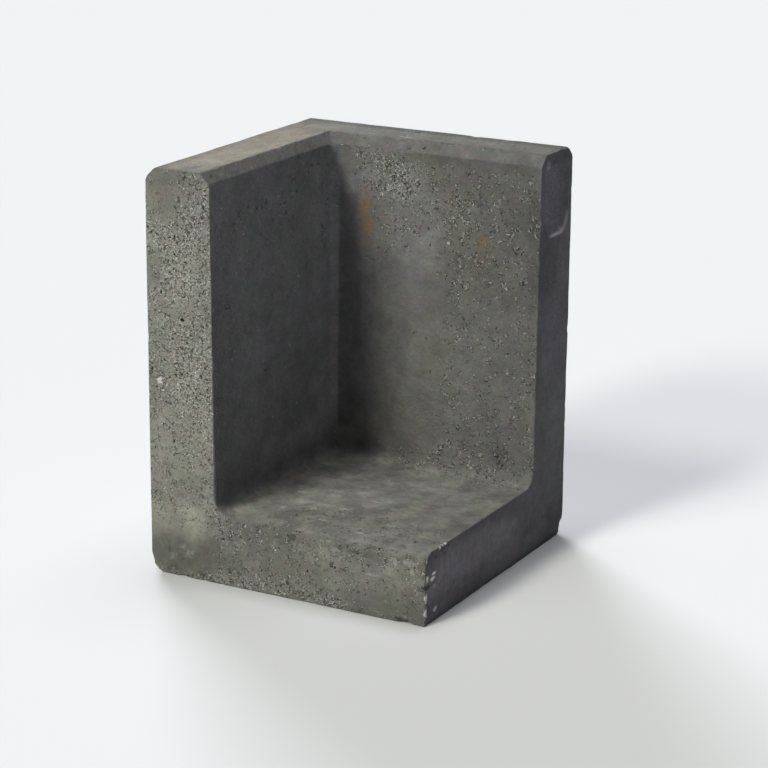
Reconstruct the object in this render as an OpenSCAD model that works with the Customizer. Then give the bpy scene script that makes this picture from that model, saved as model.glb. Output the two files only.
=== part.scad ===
// Small concrete corner element for edging and low retaining walls.
// Cast in one piece: a square foot plate with two upright walls that meet at one corner.
// Units are millimetres. Z is up; the foot stands on Z = 0 and is centred on X and Y.
// The left wall runs along the -X side and the back wall along the +Y side.

/* [Overall size] */
// Length of the foot and of the back wall, left to right
foot_length = 300; // [240:5:600]
// Depth of the foot and of the left wall, front to back
foot_depth = 300; // [240:5:600]
// Height from the underside to the top of the walls
total_height = 400; // [300:5:1000]

/* [Walls and foot] */
// Thickness of both walls at the top
wall_thickness = 70; // [60:1:100]
// Extra thickness of each wall where it meets the foot, the mould's draft
wall_draft = 3.5; // [1:0.5:12]
// Thickness of the foot plate
foot_thickness = 70; // [50:1:110]

/* [Inner corners] */
// Radius of the fillet between each wall and the foot
foot_fillet = 15; // [6:1:30]
// Radius of the upright inner corner where it meets the foot
corner_fillet = 7; // [3:1:30]

/* [Edges] */
// Leg of the chamfer along the inner and outer top edges of the walls
top_chamfer = 10; // [4:1:20]
// Leg of the chamfer along the two outer bottom edges
bottom_chamfer = 10; // [4:1:20]
// Leg of the small bevel on the other outside edges
arris = 2.5; // [1:0.5:4]
// Distance from a fillet to where the small bevel next to it stops
bevel_stop = 5; // [3:1:20]
// Drop of the trowelled edge along the front of the foot
trowel_drop = 8; // [3:1:14]
// Width of the trowelled edge along the front of the foot
trowel_run = 20; // [16:1:40]

/* [Recess in the right-hand end of the back wall] */
// Flat rim left on each side of the recess
recess_margin = 7; // [4:1:12]
// Height of the recess
recess_height = 80; // [50:1:110]
// Radius of the corners of the recess at its rim
recess_corner = 18; // [10:1:20]
// Depth of the recess
recess_depth = 5; // [2:0.5:10]
// Set-back of the recess floor from its rim
recess_slope = 4; // [1:0.5:8]
// Distance from the top of the walls down to the rim of the recess
recess_below_top = 4; // [4:1:40]

/* [Hidden] */
$fn = 96;
// Overlap that carries a cut past the surface it opens
over = 20;
left_x = -foot_length / 2;
right_x = foot_length / 2;
front_y = -foot_depth / 2;
back_y = foot_depth / 2;
draft_angle = atan(wall_draft / (total_height - foot_thickness));
// Distance from a wall's outer face to its inner face at a given height
function inner_face(z) = wall_thickness + (total_height - z) * tan(draft_angle);
wall_at_foot = inner_face(foot_thickness);
// Upright axis of the rounded inner corner
corner_x = left_x + wall_at_foot + corner_fillet;
corner_y = back_y - wall_at_foot - corner_fillet;
recess_width = wall_thickness - 2 * recess_margin;

// Rectangle with a bevel on each corner, legs given from the lower left round to the upper left
module bevelled_rectangle(u0, u1, v0, v1, low_left, low_right, high_right, high_left) {
    polygon([
        [u0 + low_left, v0],
        [u1 - low_right, v0],
        [u1, v0 + low_right],
        [u1, v1 - high_right],
        [u1 - high_right, v1],
        [u0 + high_left, v1],
        [u0, v1 - high_left],
        [u0, v0 + low_left]
    ]);
}

// Carries a section drawn in X and Z along the whole depth
module along_depth() {
    translate([0, back_y + over, 0])
        rotate([90, 0, 0])
            linear_extrude(foot_depth + 2 * over)
                children();
}

// Carries a section drawn in Y and Z along the whole length
module along_length() {
    translate([left_x - over, 0, 0])
        rotate([90, 0, 90])
            linear_extrude(foot_length + 2 * over)
                children();
}

// Outside of the casting, with every outer edge already bevelled
module block() {
    intersection() {
        linear_extrude(total_height)
            bevelled_rectangle(left_x, right_x, front_y, back_y, arris, arris, arris, arris);
        along_depth()
            bevelled_rectangle(
                left_x, right_x, 0, total_height,
                bottom_chamfer, arris, arris, top_chamfer
            );
        along_length()
            bevelled_rectangle(
                front_y, back_y, 0, total_height,
                arris, bottom_chamfer, top_chamfer, arris
            );
    }
}

// Section of the hollow in front of one wall, drawn from that wall's outer face
module hollow_section(reach) {
    centre_z = foot_thickness + foot_fillet;
    centre_u = inner_face(centre_z) + foot_fillet / cos(draft_angle);
    touch_u = centre_u - foot_fillet * cos(draft_angle);
    touch_z = centre_z - foot_fillet * sin(draft_angle);
    polygon([
        [inner_face(total_height + over), total_height + over],
        [touch_u, touch_z],
        [centre_u, centre_z],
        [centre_u, foot_thickness],
        [reach, foot_thickness],
        [reach, total_height + over]
    ]);
    translate([centre_u, centre_z])
        circle(foot_fillet);
}

// Section of the space above one wall's inner top chamfer, drawn from its outer face
module rim_section(reach) {
    low_u = inner_face(total_height - top_chamfer);
    lean = (low_u - wall_thickness + top_chamfer) / top_chamfer;
    polygon([
        [low_u + lean * over, total_height - top_chamfer - over],
        [low_u - lean * (top_chamfer + over), total_height + over],
        [reach, total_height + over],
        [reach, total_height - top_chamfer - over]
    ]);
}

// Concrete that rounds the upright inner corner; its radius grows with the draft
module corner_filling() {
    side = corner_fillet + wall_draft + over;
    height = total_height - foot_thickness + 2 * over;
    difference() {
        translate([corner_x - side, corner_y, foot_thickness - over])
            cube([side, side, height]);
        translate([corner_x, corner_y, foot_thickness - over])
            cylinder(
                h = height,
                r1 = corner_fillet - over * tan(draft_angle),
                r2 = corner_fillet + (height - over) * tan(draft_angle)
            );
    }
}

// Space over the foot and between the walls
module hollow() {
    difference() {
        intersection() {
            along_depth()
                translate([left_x, 0])
                    hollow_section(foot_length + over);
            along_length()
                translate([back_y, 0])
                    mirror([1, 0])
                        hollow_section(foot_depth + over);
        }
        corner_filling();
    }
}

// Bevel along the inner top edges of both walls, mitred in the corner
module inner_rim() {
    intersection() {
        along_depth()
            translate([left_x, 0])
                rim_section(foot_length + over);
        along_length()
            translate([back_y, 0])
                mirror([1, 0])
                    rim_section(foot_depth + over);
    }
}

// Round nose that the trowel leaves along the front of the foot, running out at the left wall
module trowelled_edge() {
    nose_radius = (trowel_run * trowel_run + trowel_drop * trowel_drop) / (2 * trowel_drop);
    start_x = left_x + wall_at_foot + foot_fillet;
    intersection() {
        along_length()
            translate([front_y, foot_thickness])
                difference() {
                    translate([-over, -trowel_drop])
                        square([trowel_run + over, trowel_drop + over]);
                    translate([trowel_run, -nose_radius])
                        circle(nose_radius);
                }
        along_depth()
            polygon([
                [start_x, foot_thickness + over],
                [start_x, foot_thickness],
                [start_x + trowel_run, foot_thickness - trowel_drop],
                [right_x + over, foot_thickness - trowel_drop],
                [right_x + over, foot_thickness + over]
            ]);
    }
}

// Three-sided bar that bevels an edge lying on Z, with the concrete at -X and +Y of it
module bevel_bar(length) {
    reach = arris + over;
    linear_extrude(length)
        polygon([
            [-reach, -over],
            [over, reach],
            [over, -over]
        ]);
}

// Bevels on the free inner edges: one on each wall's end and one along the foot's right side
module inner_bevels() {
    stop = foot_fillet + bevel_stop;
    upright = (total_height - foot_thickness) / cos(draft_angle);
    translate([left_x + wall_at_foot, front_y, foot_thickness])
        rotate([0, -draft_angle, 0])
            translate([0, 0, stop])
                bevel_bar(upright);
    translate([right_x, back_y - wall_at_foot, foot_thickness])
        rotate([-draft_angle, 0, 0])
            translate([0, 0, stop])
                bevel_bar(upright);
    translate([right_x, back_y - wall_at_foot - stop, foot_thickness])
        rotate([90, 0, 0])
            mirror([0, 1, 0])
                bevel_bar(foot_depth);
}

// One round corner of the recess, a cone that narrows inwards
module recess_round(across, height) {
    translate([right_x, across, height])
        rotate([0, -90, 0])
            cylinder(
                h = recess_depth,
                r1 = recess_corner,
                r2 = recess_corner - recess_slope
            );
}

// Cross section of the recess, as wide as given at the rim
module recess_section(width) {
    polygon([
        [0, -width / 2],
        [0, width / 2],
        [-recess_depth, width / 2 - recess_slope],
        [-recess_depth, recess_slope - width / 2]
    ]);
}

// Shallow recess with round corners in the right-hand end of the back wall
module recess() {
    middle_y = back_y - wall_thickness / 2;
    middle_z = total_height - recess_below_top - recess_height / 2;
    side_y = recess_width / 2 - recess_corner;
    side_z = recess_height / 2 - recess_corner;
    for (across = [-side_y, side_y], height = [-side_z, side_z])
        recess_round(middle_y + across, middle_z + height);
    translate([right_x, middle_y, middle_z - side_z])
        linear_extrude(2 * side_z)
            recess_section(recess_width);
    translate([right_x, middle_y + side_y, middle_z])
        rotate([90, 0, 0])
            linear_extrude(2 * side_y)
                recess_section(recess_height);
}

// The whole casting
module corner_element() {
    color([0.55, 0.54, 0.50])
        difference() {
            block();
            hollow();
            inner_rim();
            trowelled_edge();
            inner_bevels();
            recess();
        }
}

corner_element();
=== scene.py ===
"""Studio scene of a small concrete corner element: one casting, a square foot and two walls.

All lengths are in metres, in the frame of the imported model: Z up, the foot centred on X and Y.
"""

import logging
import math
from collections.abc import Iterable
from dataclasses import dataclass, field, replace
from enum import Enum
from functools import reduce
from itertools import product

import bpy
import numpy as np
from mathutils import Matrix, Vector


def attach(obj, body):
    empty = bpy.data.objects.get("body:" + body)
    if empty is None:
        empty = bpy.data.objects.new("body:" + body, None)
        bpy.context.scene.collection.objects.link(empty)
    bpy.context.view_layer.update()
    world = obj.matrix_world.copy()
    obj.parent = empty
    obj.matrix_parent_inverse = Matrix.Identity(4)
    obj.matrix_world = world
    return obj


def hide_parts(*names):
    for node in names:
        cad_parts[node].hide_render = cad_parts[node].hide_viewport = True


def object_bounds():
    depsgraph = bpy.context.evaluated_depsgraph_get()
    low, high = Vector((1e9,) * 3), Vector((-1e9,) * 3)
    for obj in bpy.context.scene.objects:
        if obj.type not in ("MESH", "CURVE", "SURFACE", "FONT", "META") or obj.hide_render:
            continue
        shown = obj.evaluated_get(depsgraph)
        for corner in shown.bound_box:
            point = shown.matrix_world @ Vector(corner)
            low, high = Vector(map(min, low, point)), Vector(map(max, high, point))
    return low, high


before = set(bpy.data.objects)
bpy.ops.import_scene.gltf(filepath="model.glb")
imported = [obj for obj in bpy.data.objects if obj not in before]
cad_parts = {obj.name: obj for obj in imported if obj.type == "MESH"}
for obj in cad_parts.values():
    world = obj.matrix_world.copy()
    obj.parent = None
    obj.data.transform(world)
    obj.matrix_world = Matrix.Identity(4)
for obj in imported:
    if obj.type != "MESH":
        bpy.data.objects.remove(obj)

Array = np.ndarray
Socket = bpy.types.NodeSocket
Plug = bpy.types.NodeSocket | float | tuple[float, ...]
log = logging.getLogger("corner_element")
CAD_NODE = "corner_element"
CAD_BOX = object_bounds()
TINY = 1e-6
MASKS = ("tone", "warmth", "sand", "pits", "trowel")


class Side(Enum):
    """The faces of the casting that differ in finish, each with the number stored on the mesh."""

    TOP = 0
    FRONT_END = 1
    RIGHT_END = 2
    LEFT_INNER = 3
    BACK_INNER = 4
    FOOT_TOP = 5
    OUTER = 6
    UNDERSIDE = 7
    INNER_CHAMFER = 8


def smooth_step(low: float | Array, high: float | Array, value: Array) -> Array:
    """Fade from 0 to 1 with soft ends.

    Args:
        low: value at which the fade starts.
        high: value at which it ends.
        value: values to fade.

    Returns:
        The faded values, between 0 and 1.
    """
    part = np.clip((value - low) / (high - low), 0.0, 1.0)
    return part * part * (3.0 - 2.0 * part)


def round_join(one: Array, other: Array, radius: float | Array) -> Array:
    """Join two solids with a fillet in the corner between them.

    Args:
        one: signed distances to the first solid, negative inside.
        other: signed distances to the second solid.
        radius: radius of the fillet.

    Returns:
        Signed distances to the joined solid.
    """
    near = np.hypot(np.maximum(radius - one, 0.0), np.maximum(radius - other, 0.0))
    return np.maximum(radius, np.minimum(one, other)) - near


def round_cut(one: Array, other: Array, radius: float | Array) -> Array:
    """Keep what two solids share, with the edge between them rounded.

    Args:
        one: signed distances to the first solid, negative inside.
        other: signed distances to the second solid.
        radius: radius of the rounded edge.

    Returns:
        Signed distances to the shared solid.
    """
    past = np.hypot(np.maximum(radius + one, 0.0), np.maximum(radius + other, 0.0))
    return np.minimum(-radius, np.maximum(one, other)) + past


class LatticeNoise:
    """Smooth random values in space, the same on every run."""

    TABLE = 256

    def __init__(self, seed: int) -> None:
        """Fill the lattice.

        Args:
            seed: number that picks the pattern.
        """
        draw = np.random.default_rng(seed)
        self.order = draw.permutation(self.TABLE)
        self.value = draw.uniform(-1.0, 1.0, self.TABLE)
        self.shift = draw.uniform(0.0, self.TABLE, 3)

    def at(self, points: Array, cell: float) -> Array:
        """Sample the noise.

        Args:
            points: positions, one row each.
            cell: size of one lattice cell.

        Returns:
            One value for each point, between -1 and 1.
        """
        grid = points / cell + self.shift
        base = np.floor(grid).astype(np.int64)
        part = grid - base
        part = part * part * (3.0 - 2.0 * part)
        total = np.zeros(len(points))
        for corner in product((0, 1), repeat=3):
            code = np.zeros(len(points), dtype=np.int64)
            weight = np.ones(len(points))
            for axis, step in enumerate(corner):
                code = self.order[(code + base[:, axis] + step) % self.TABLE]
                weight = weight * (part[:, axis] if step else 1.0 - part[:, axis])
            total += weight * self.value[code]
        return total

    def layered(self, points: Array, cell: float, layers: int) -> Array:
        """Sum several layers, each half the cell and half the strength of the last.

        Args:
            points: positions, one row each.
            cell: cell of the coarsest layer.
            layers: number of layers.

        Returns:
            One value for each point, roughly between -1 and 1.
        """
        total = np.zeros(len(points))
        for layer in range(layers):
            total += self.at(points + layer * 0.37, cell / 2**layer) / 2**layer
        return total / (2.0 - 2.0 ** (1 - layers))


@dataclass(frozen=True)
class Chip:
    """A piece broken out of the concrete, cut as a lump of uneven outline."""

    centre: tuple[float, float, float]
    radii: tuple[float, float, float]

    def distance(self, points: Array) -> Array:
        """Signed distances to the lump, negative inside it.

        Args:
            points: positions, one row each.

        Returns:
            One distance for each point.
        """
        away = (points - np.array(self.centre)) / np.array(self.radii)
        return (np.linalg.norm(away, axis=1) - 1.0) * min(self.radii)


@dataclass(frozen=True)
class Finish:
    """How one side of the casting came out of its mould.

    tone is its brightness against plain concrete, and warmth turns it from violet through
    slate to olive and tan. sand is how much of its sand shows, pits how much it is pitted with
    small air holes, and trowel how strongly a trowel marked it.
    """

    tone: float
    warmth: float = 0.5
    sand: float = 0.1
    pits: float = 0.1
    trowel: float = 0.0


FINISHES: dict[Side, Finish] = {
    Side.TOP: Finish(tone=0.74, warmth=0.85, sand=0.05),
    Side.FRONT_END: Finish(tone=0.985, warmth=0.72, sand=0.56),
    # Painted shade: the right-hand side's tone is set darker and its warmth bluer than the other sides'.
    Side.RIGHT_END: Finish(tone=0.62, warmth=-0.92, sand=-0.30),
    Side.LEFT_INNER: Finish(tone=0.86, warmth=-0.28, sand=0.05, pits=0.3),
    Side.BACK_INNER: Finish(tone=0.92, warmth=0.50, sand=0.38),
    Side.FOOT_TOP: Finish(tone=1.15, warmth=0.55, sand=0.12, trowel=1.0),
    Side.OUTER: Finish(tone=0.85, warmth=0.45, sand=0.40),
    Side.UNDERSIDE: Finish(tone=0.80, warmth=0.50, sand=0.30),
    Side.INNER_CHAMFER: Finish(tone=1.01, warmth=0.30, sand=0.15),
}


@dataclass(frozen=True)
class Patch:
    """A soft-edged patch on one side whose finish, or painted light or shade, differs from the rest of that
    side.

    at and reach are measured along the side, first along X or Y and then along Y or Z. The
    values after them are added to the side's own.
    """

    at: tuple[float, float]
    reach: tuple[float, float]
    tone: float = 0.0
    warmth: float = 0.0
    sand: float = 0.0
    pits: float = 0.0
    trowel: float = 0.0


PATCHES: dict[Side, tuple[Patch, ...]] = {
    Side.FRONT_END: (
        # The front: the wall's end is paler than the foot, and smooth near its top and its heel.
        Patch((-0.118, 0.225), (0.060, 0.200), tone=0.51, warmth=0.3, sand=0.20),
        Patch((-0.112, 0.320), (0.050, 0.060), sand=0.10),
        Patch((-0.100, 0.190), (0.026, 0.060), sand=0.15),
        Patch((-0.120, 0.058), (0.045, 0.020), tone=0.36, warmth=0.2, sand=-0.2),
        Patch((-0.130, 0.374), (0.022, 0.030), tone=-0.18, warmth=0.1, sand=-0.35),
        Patch((-0.142, 0.300), (0.010, 0.026), tone=-0.20, warmth=-0.3, sand=-0.35),
        Patch((-0.142, 0.200), (0.009, 0.040), tone=-0.14),
        Patch((-0.105, 0.290), (0.025, 0.040), tone=0.12),
        Patch((-0.110, 0.268), (0.040, 0.010), tone=-0.20, sand=-0.25),
        Patch((-0.118, 0.125), (0.050, 0.060), sand=-0.20),
        Patch((-0.118, 0.028), (0.050, 0.022), tone=-0.36, sand=-0.7),
        Patch((-0.020, 0.004), (0.085, 0.011), tone=0.26, warmth=-0.2, sand=0.2),
        Patch((0.110, 0.012), (0.050, 0.018), tone=-0.12, sand=-0.2),
        Patch((0.040, 0.061), (0.110, 0.007), tone=-0.12),
        Patch((0.080, 0.044), (0.060, 0.016), tone=0.20),
        Patch((0.050, 0.046), (0.130, 0.034), sand=-0.12, trowel=0.6),
    ),
    Side.BACK_INNER: (
        # The back wall: painted shade in a strip beside the corner, painted light at the corner's foot, and
        # pale and sandy from the strip towards the middle.
        Patch((-0.060, 0.240), (0.014, 0.170), tone=-0.22, warmth=-0.3, sand=-0.3),
        Patch((-0.058, 0.230), (0.030, 0.180), warmth=-0.25, sand=-0.4),
        Patch((-0.066, 0.088), (0.022, 0.014), tone=0.42),
        Patch((-0.028, 0.368), (0.045, 0.028), tone=0.35, sand=0.50),
        Patch((0.010, 0.322), (0.030, 0.052), tone=0.36, warmth=-0.3, sand=0.14),
        Patch((0.055, 0.335), (0.030, 0.025), tone=0.16, sand=0.2),
        Patch((0.110, 0.345), (0.050, 0.040), tone=-0.07, sand=0.06),
        Patch((0.026, 0.200), (0.020, 0.120), tone=0.06, sand=-0.4),
        Patch((-0.012, 0.215), (0.036, 0.080), warmth=-0.2, sand=-0.5),
        Patch((-0.020, 0.130), (0.060, 0.050), tone=0.06, sand=-0.45),
        Patch((0.070, 0.175), (0.026, 0.070), tone=0.10),
        Patch((0.080, 0.275), (0.040, 0.024), tone=-0.08, sand=0.1),
        Patch((0.128, 0.290), (0.020, 0.110), tone=-0.10),
        Patch((0.144, 0.300), (0.008, 0.080), tone=-0.18),
        Patch((0.060, 0.392), (0.090, 0.012), tone=-0.12, sand=-0.6),
        Patch((0.120, 0.112), (0.034, 0.024), tone=-0.05),
        Patch((0.065, 0.090), (0.025, 0.010), tone=0.12),
        Patch((0.060, 0.086), (0.085, 0.014), tone=0.04, sand=0.20),
    ),
    Side.LEFT_INNER: (
        # The left wall: painted light makes it paler towards the corner, most of all low down, and painted
        # shade makes it darker along its front edge.
        Patch((0.060, 0.230), (0.026, 0.150), tone=0.24),
        Patch((0.062, 0.112), (0.034, 0.048), tone=0.52),
        Patch((-0.048, 0.100), (0.022, 0.020), tone=0.22),
        Patch((0.005, 0.096), (0.030, 0.024), tone=0.34),
        Patch((-0.060, 0.305), (0.040, 0.028), tone=0.04),
        Patch((-0.140, 0.200), (0.030, 0.140), tone=-0.12),
        Patch((0.030, 0.350), (0.036, 0.036), tone=0.04, warmth=0.2),
        Patch((0.018, 0.366), (0.034, 0.015), sand=0.10, pits=0.8),
        Patch((-0.035, 0.346), (0.040, 0.026), sand=0.10, pits=0.8),
        Patch((-0.108, 0.346), (0.042, 0.014), sand=0.10, pits=0.6),
        Patch((0.065, 0.330), (0.014, 0.050), pits=0.6),
    ),
    Side.FOOT_TOP: (
        # The foot: painted light in the corner, paler in the middle, duller along its front.
        Patch((-0.045, 0.062), (0.045, 0.028), tone=0.70, warmth=-0.1),
        Patch((-0.040, 0.006), (0.028, 0.022), tone=0.42, warmth=-0.1),
        Patch((0.055, 0.045), (0.040, 0.035), tone=0.26),
        Patch((-0.068, -0.100), (0.022, 0.050), tone=0.44, warmth=0.2),
        Patch((-0.014, -0.056), (0.020, 0.034), tone=0.52, warmth=-0.1),
        Patch((0.030, -0.035), (0.026, 0.024), tone=0.22),
        Patch((0.012, -0.090), (0.046, 0.012), tone=-0.14),
        Patch((0.080, -0.065), (0.080, 0.030), tone=-0.10),
        Patch((0.140, -0.060), (0.012, 0.080), tone=-0.14),
        Patch((0.060, 0.070), (0.085, 0.018), sand=0.35),
        Patch((0.040, -0.110), (0.100, 0.040), sand=0.25),
    ),
    Side.RIGHT_END: (
        # The right-hand side is paler along the middle of the foot and darker just below the recess, and
        # painted shade darkens it across the top of the recess.
        Patch((-0.060, 0.042), (0.100, 0.020), tone=0.38),
        Patch((-0.055, 0.020), (0.120, 0.030), tone=0.14),
        Patch((0.045, 0.012), (0.075, 0.012), tone=0.28),
        Patch((0.095, 0.290), (0.026, 0.034), tone=-0.18),
        Patch((0.082, 0.200), (0.008, 0.030), tone=-0.14),
        Patch((0.115, 0.200), (0.050, 0.020), tone=0.10),
        Patch((0.130, 0.122), (0.025, 0.022), tone=0.14),
        Patch((0.115, 0.100), (0.060, 0.075), warmth=0.8),
        Patch((0.130, 0.024), (0.022, 0.016), tone=-0.18),
        Patch((0.115, 0.396), (0.050, 0.012), tone=-0.16),
    ),
    Side.TOP: (
        # The left wall's top is paler than the back wall's, and both are duller along their edges.
        Patch((-0.115, -0.020), (0.045, 0.140), tone=0.44, warmth=1.25),
        Patch((-0.140, -0.040), (0.012, 0.130), tone=-0.26),
        Patch((-0.084, -0.040), (0.008, 0.120), tone=-0.14),
        Patch((0.030, 0.135), (0.180, 0.011), tone=-0.25),
        Patch((0.070, 0.086), (0.090, 0.010), tone=-0.22),
    ),
}


CHIPS = (
    # The heel of the left wall, and nicks along the bottom of the front.
    Chip((-0.161, -0.152, 0.004), (0.0145, 0.030, 0.020)),
    Chip((-0.113, -0.152, -0.002), (0.006, 0.006, 0.0055)),
    Chip((-0.092, -0.152, -0.002), (0.007, 0.006, 0.0045)),
    Chip((-0.070, -0.152, -0.002), (0.004, 0.005, 0.004)),
    Chip((0.020, -0.152, -0.002), (0.006, 0.005, 0.0035)),
    Chip((0.113, -0.152, -0.002), (0.006, 0.005, 0.0040)),
    Chip((0.130, -0.152, -0.003), (0.010, 0.007, 0.0060)),
    # The foot's front corner, and nicks up its edge.
    Chip((0.154, -0.142, -0.002), (0.007, 0.013, 0.0070)),
    Chip((0.152, -0.152, 0.037), (0.0045, 0.0045, 0.0030)),
    Chip((0.152, -0.146, 0.040), (0.0035, 0.0070, 0.0022)),
    Chip((0.153, -0.151, 0.052), (0.004, 0.005, 0.006)),
    Chip((0.153, -0.151, 0.018), (0.004, 0.004, 0.007)),
    Chip((0.153, -0.136, 0.068), (0.0045, 0.008, 0.005)),
    Chip((0.153, -0.112, 0.072), (0.0045, 0.006, 0.004)),
    # The far bottom corner of the right-hand side.
    Chip((0.154, 0.152, 0.004), (0.009, 0.012, 0.013)),
)
PITS = (
    Chip((-0.112, -0.150, 0.257), (0.0022, 0.0022, 0.0034)),
    Chip((-0.1195, -0.150, 0.334), (0.0016, 0.0020, 0.0036)),
)


@dataclass(frozen=True)
class Relief:
    """Unevenness of the surface and wear of its edges, one value for each point."""

    wear: Array
    leg: Array
    rise: Array
    ragged: Array


@dataclass
class Casting:
    """The concrete casting: its section, its edges and the wear on them."""

    CODE = 1024

    low: Vector
    high: Vector
    wall: float = 0.070
    wall_draft: float = 0.0035
    foot: float = 0.070
    foot_fillet: float = 0.015
    corner_fillet: float = 0.007
    chamfer: float = 0.010
    trowel_drop: float = 0.008
    trowel_run: float = 0.020
    recess_margin: float = 0.007
    recess_height: float = 0.080
    recess_corner: float = 0.018
    recess_depth: float = 0.005
    recess_slope: float = 0.004
    recess_below_top: float = 0.004
    recess_bottom_radius: float = 0.0015
    recess_mouth_radius: float = 0.0012
    trowel_start: float = 0.006
    trowel_full: float = 0.040
    patch_depth: float = 0.050
    fine_step: float = 0.00105
    coarse_step: float = 0.0052
    recess_step: float = 0.0021
    recess_zone: float = 0.100
    recess_rows: int = 40
    edge_reach: float = 0.014
    edge_radius: float = 0.0010
    end_radius: float = 0.0013
    rim_radius: float = 0.0007
    rim_corner_radius: float = 0.001
    top_corner_radius: float = 0.0005
    noise: LatticeNoise = field(default_factory=lambda: LatticeNoise(11))
    chip_noise: LatticeNoise = field(default_factory=lambda: LatticeNoise(29))
    patches: dict[Side, tuple[Patch, ...]] = field(default_factory=dict)
    chips: tuple[Chip, ...] = ()

    def __post_init__(self) -> None:
        """Work out the sizes that follow from the others."""
        self.height = self.high.z - self.low.z
        self.lean = self.wall_draft / (self.height - self.foot)
        self.inner_x = self.low.x + self.wall + self.wall_draft * 0.5
        self.inner_y = self.high.y - self.wall - self.wall_draft * 0.5

    def on_side(self, side: Side, flat: tuple[float, float], square: float) -> tuple[float, ...]:
        """Complete two values along a side with one for the axis that the side is square to.

        Args:
            side: the side.
            flat: values along the side, in the order of the axes.
            square: value for the remaining axis.

        Returns:
            One value for each axis.
        """
        axis = self.planes()[side][0]
        return (*flat[:axis], square, *flat[axis:])

    def place_on(self, side: Side, at: tuple[float, float], sunk: float = 0.0) -> tuple[float, ...]:
        """Find a place on a side, or some way inside the concrete below it.

        Args:
            side: the side.
            at: the place along the side, in the order of the axes.
            sunk: how far below the side it lies.

        Returns:
            The place in space.
        """
        _, plane, facing = self.planes()[side]
        return self.on_side(side, at, plane - facing * sunk)

    def planes(self) -> dict[Side, tuple[int, float, int]]:
        """The axis that each marked side is square to, where it lies on it, and which way it faces."""
        return {
            Side.TOP: (2, self.high.z, 1),
            Side.FRONT_END: (1, self.low.y, -1),
            Side.RIGHT_END: (0, self.high.x, 1),
            Side.LEFT_INNER: (0, self.inner_x, 1),
            Side.BACK_INNER: (1, self.inner_y, -1),
            Side.FOOT_TOP: (2, self.low.z + self.foot, 1),
        }

    def ruled(self, marks: list[float], steps: list[float]) -> Array:
        """Grid lines that lie close together next to each mark.

        Args:
            marks: places of the edges along one axis, in order.
            steps: spacing away from the edges, one for each span between marks.

        Returns:
            The places of the lines.
        """
        lines = [marks[0]]
        for start, end, step in zip(marks, marks[1:], steps):
            reach = min(self.edge_reach, (end - start) / 2.0)
            for low, high, gap in (
                (start, start + reach, self.fine_step),
                (start + reach, end - reach, step),
                (end - reach, end, self.fine_step),
            ):
                count = max(1, round((high - low) / gap))
                if high - low > TINY:
                    lines.extend(np.linspace(low, high, count + 1)[1:])
        return np.array(lines)

    def cage(self) -> tuple[Array, Array, Array]:
        """Grid over the plain boxes of the casting, before its shape is given.

        Returns:
            The points, the four corners of each face, and each face's side.
        """
        coarse, close = self.coarse_step, self.recess_step
        recess_low = self.high.z - self.recess_zone
        rim_low = self.high.z - self.edge_reach
        xs = self.ruled([self.low.x, self.inner_x, self.high.x], [coarse, coarse])
        ys = self.ruled([self.low.y, self.inner_y, self.high.y], [coarse, close])
        foot_z = self.low.z + self.foot
        zs = self.ruled([self.low.z, foot_z, self.high.z], [coarse, coarse])
        upper = zs[zs > recess_low]
        zs = np.concatenate([
            zs[zs <= recess_low],
            np.linspace(recess_low, rim_low, self.recess_rows + 1)[1:],
            upper[upper > rim_low + TINY],
        ])
        lines = (xs, ys, zs)
        last = tuple(len(line) - 1 for line in lines)
        ix = int(np.argmin(abs(xs - self.inner_x)))
        iy = int(np.argmin(abs(ys - self.inner_y)))
        iz = int(np.argmin(abs(zs - foot_z)))
        patches = (
            (0, 0, -1, (0, last[1]), (0, last[2]), Side.OUTER),
            (1, last[1], 1, (0, last[0]), (0, last[2]), Side.OUTER),
            (2, 0, -1, (0, last[0]), (0, last[1]), Side.UNDERSIDE),
            (1, 0, -1, (0, ix), (0, last[2]), Side.FRONT_END),
            (1, 0, -1, (ix, last[0]), (0, iz), Side.FRONT_END),
            (0, last[0], 1, (iy, last[1]), (0, last[2]), Side.RIGHT_END),
            (0, last[0], 1, (0, iy), (0, iz), Side.RIGHT_END),
            (2, last[2], 1, (0, ix), (0, last[1]), Side.TOP),
            (2, last[2], 1, (ix, last[0]), (iy, last[1]), Side.TOP),
            (0, ix, 1, (0, iy), (iz, last[2]), Side.LEFT_INNER),
            (1, iy, -1, (ix, last[0]), (iz, last[2]), Side.BACK_INNER),
            (2, iz, 1, (ix, last[0]), (0, iy), Side.FOOT_TOP),
        )
        faces, sides = [], []
        for axis, at, facing, first, second, side in patches:
            quads = self.patch(axis, at, facing, first, second)
            faces.append(quads)
            sides.append(np.full(len(quads), side.value))
        codes = np.concatenate(faces)
        used, corners = np.unique(codes, return_inverse=True)
        size = self.CODE
        index = np.stack([used // (size * size), used // size % size, used % size], axis=1)
        points = np.stack([line[index[:, axis]] for axis, line in enumerate(lines)], axis=1)
        return points, corners.reshape(codes.shape), np.concatenate(sides)

    def patch(
        self, axis: int, at: int, facing: int, first: tuple[int, int], second: tuple[int, int]
    ) -> Array:
        """Faces of one flat rectangle of the grid.

        Args:
            axis: the axis that the rectangle is square to.
            at: its line on that axis.
            facing: 1 or -1, the way it faces along that axis.
            first: its lines on the first of the other axes, lowest and highest.
            second: its lines on the second of the other axes.

        Returns:
            Four corner codes for each face, in order round it.
        """
        one, two = np.meshgrid(np.arange(*first), np.arange(*second), indexing="ij")
        others = [other for other in range(3) if other != axis]
        ring = ((0, 0), (1, 0), (1, 1), (0, 1))
        if (facing > 0) == (axis == 1):
            ring = ring[::-1]
        corners = []
        for step_one, step_two in ring:
            index = [0, 0, 0]
            index[axis] = np.full(one.shape, at)
            index[others[0]] = one + step_one
            index[others[1]] = two + step_two
            code = (index[0] * self.CODE + index[1]) * self.CODE + index[2]
            corners.append(code.ravel())
        return np.stack(corners, axis=1)

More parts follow.
